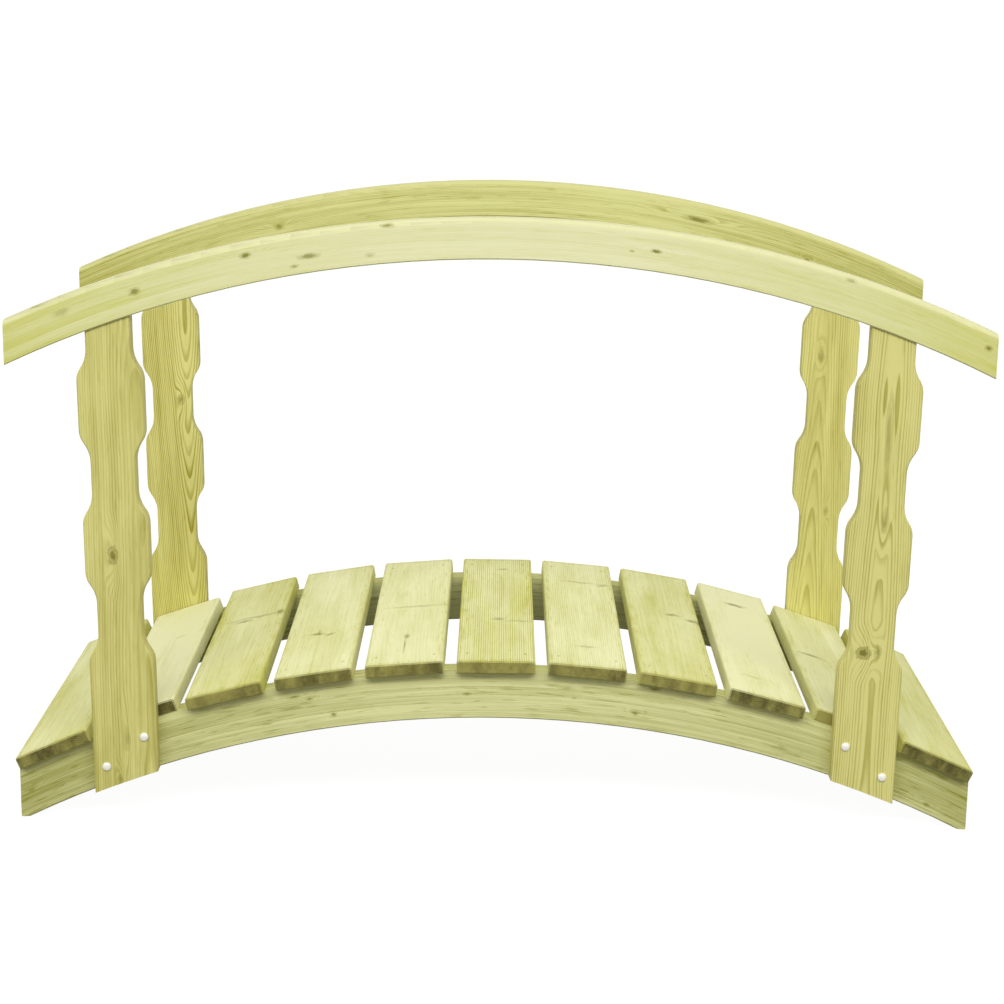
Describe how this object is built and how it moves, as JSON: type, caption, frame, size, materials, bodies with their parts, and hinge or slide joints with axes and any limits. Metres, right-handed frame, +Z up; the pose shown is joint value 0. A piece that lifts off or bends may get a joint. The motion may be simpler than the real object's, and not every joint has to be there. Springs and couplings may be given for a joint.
{
  "type": "arched garden footbridge",
  "caption": "Arched wooden garden footbridge with a plank deck on two bent laminated stringers and scalloped board posts carrying an arched handrail on each side.",
  "frame": {"origin": "on the ground under the middle of the bridge", "axes": "+X along the bridge, +Y from the front side to the back, +Z up"},
  "size_m": [1.7182, 0.74, 1.0978],
  "materials": {
    "stringer_wood": "planed laminated pine, green pressure treatment, matt",
    "deck_wood": "planed pine boards with rounded edges, green pressure treatment, matt",
    "post_wood": "planed pine board with a sawn scalloped outline, green pressure treatment, matt",
    "rail_wood": "planed laminated pine, rounded over, green pressure treatment, matt",
    "zinc_steel": "bright zinc plate, slightly dull"
  },
  "bodies": {
    "root": {"front_stringer": "stringer_wood", "back_stringer": "stringer_wood", "deck_board_01": "deck_wood", "deck_board_02": "deck_wood", "deck_board_03": "deck_wood", "deck_board_04": "deck_wood", "deck_board_05": "deck_wood", "deck_board_06": "deck_wood", "deck_board_07": "deck_wood", "deck_board_08": "deck_wood", "deck_board_09": "deck_wood", "deck_board_10": "deck_wood", "deck_board_11": "deck_wood", "front_left_post": "post_wood", "front_right_post": "post_wood", "back_left_post": "post_wood", "back_right_post": "post_wood", "front_handrail": "rail_wood", "back_handrail": "rail_wood", "front_left_upper_bolt": "zinc_steel", "front_left_lower_bolt": "zinc_steel", "front_right_upper_bolt": "zinc_steel", "front_right_lower_bolt": "zinc_steel", "back_left_upper_bolt": "zinc_steel", "back_left_lower_bolt": "zinc_steel", "back_right_upper_bolt": "zinc_steel", "back_right_lower_bolt": "zinc_steel"}
  },
  "joints": []
}
